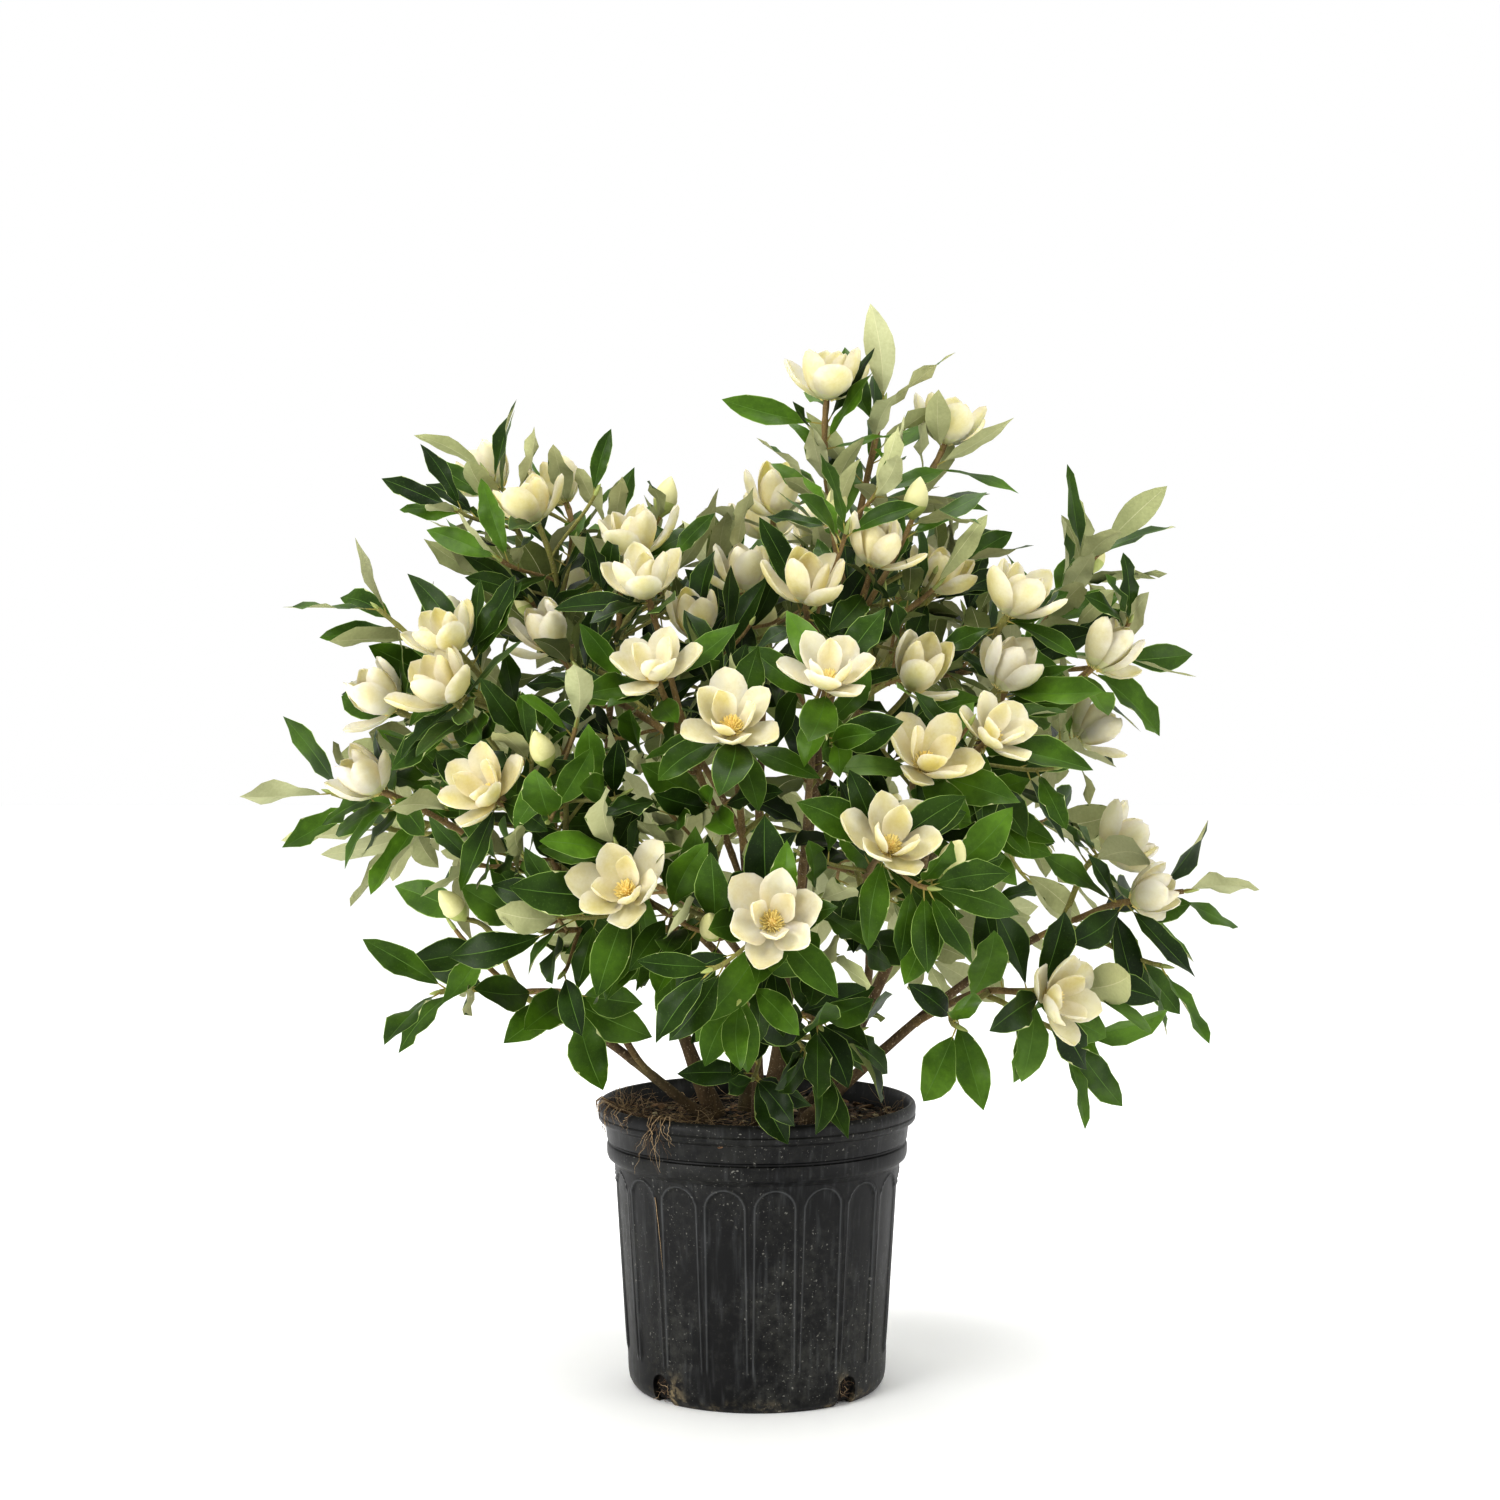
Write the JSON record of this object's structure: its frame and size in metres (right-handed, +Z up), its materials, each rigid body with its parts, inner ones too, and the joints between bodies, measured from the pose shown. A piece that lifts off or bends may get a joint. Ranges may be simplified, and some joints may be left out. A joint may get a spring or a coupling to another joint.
{
  "type": "potted sweetbay magnolia",
  "caption": "Many-stemmed sweetbay magnolia shrub with glossy leaves and open cream flowers, in a round black plastic nursery pot with shallow flutes.",
  "frame": {"origin": "centre of the pot's flat underside, on the ground", "axes": "+Z up along the pot's axis, -Y towards the front of the picture, +X to its right"},
  "size_m": [0.879, 0.7805, 0.9558],
  "materials": {
    "pot_plastic": "black moulded plastic with a dull sheen, lightly dusty",
    "soil": "dark brown potting mix of bark chips and fibres",
    "bark": "thin grey-brown bark",
    "foliage": "glossy green leaves, pale beneath, with cream flowers"
  },
  "bodies": {
    "root": {"bough_back_left": "bark", "bough_back_left_high": "bark", "bough_back_low_left": "bark", "bough_back_low_right": "bark", "bough_back_right": "bark", "bough_back_right_high": "bark", "bough_centre": "bark", "bough_far_left": "bark", "bough_front_left": "bark", "bough_front_low": "bark", "bough_front_right": "bark", "bough_left_face": "bark", "bough_left_front": "bark", "bough_left_inner": "bark", "bough_left_up": "bark", "bough_right_face": "bark", "bough_right_front": "bark", "bough_right_low": "bark", "bough_right_up": "bark", "bough_top_front": "bark", "bough_top_right": "bark", "leaves_back_high": "foliage", "leaves_back_left": "foliage", "leaves_back_left_high": "foliage", "leaves_back_low_left": "foliage", "leaves_back_low_right": "foliage", "leaves_back_right": "foliage", "leaves_back_right_high": "foliage", "leaves_centre": "foliage", "leaves_far_left": "foliage", "leaves_front_centre": "foliage", "leaves_front_left": "foliage", "leaves_front_low": "foliage", "leaves_front_right": "foliage", "leaves_leader": "foliage", "leaves_left_face": "foliage", "leaves_left_front": "foliage", "leaves_left_inner": "foliage", "leaves_left_low": "foliage", "leaves_left_top": "foliage", "leaves_left_up": "foliage", "leaves_low_front": "foliage", "leaves_right_face": "foliage", "leaves_right_front": "foliage", "leaves_right_low": "foliage", "leaves_right_mid": "foliage", "leaves_right_top": "foliage", "leaves_right_up": "foliage", "leaves_top_front": "foliage", "leaves_top_right": "foliage", "pot": "pot_plastic", "soil": "soil", "stem_back": "bark", "stem_front": "bark", "stem_leader": "bark", "stem_left": "bark", "stem_low_left": "bark", "stem_low_right": "bark", "stem_right": "bark"}
  },
  "joints": []
}
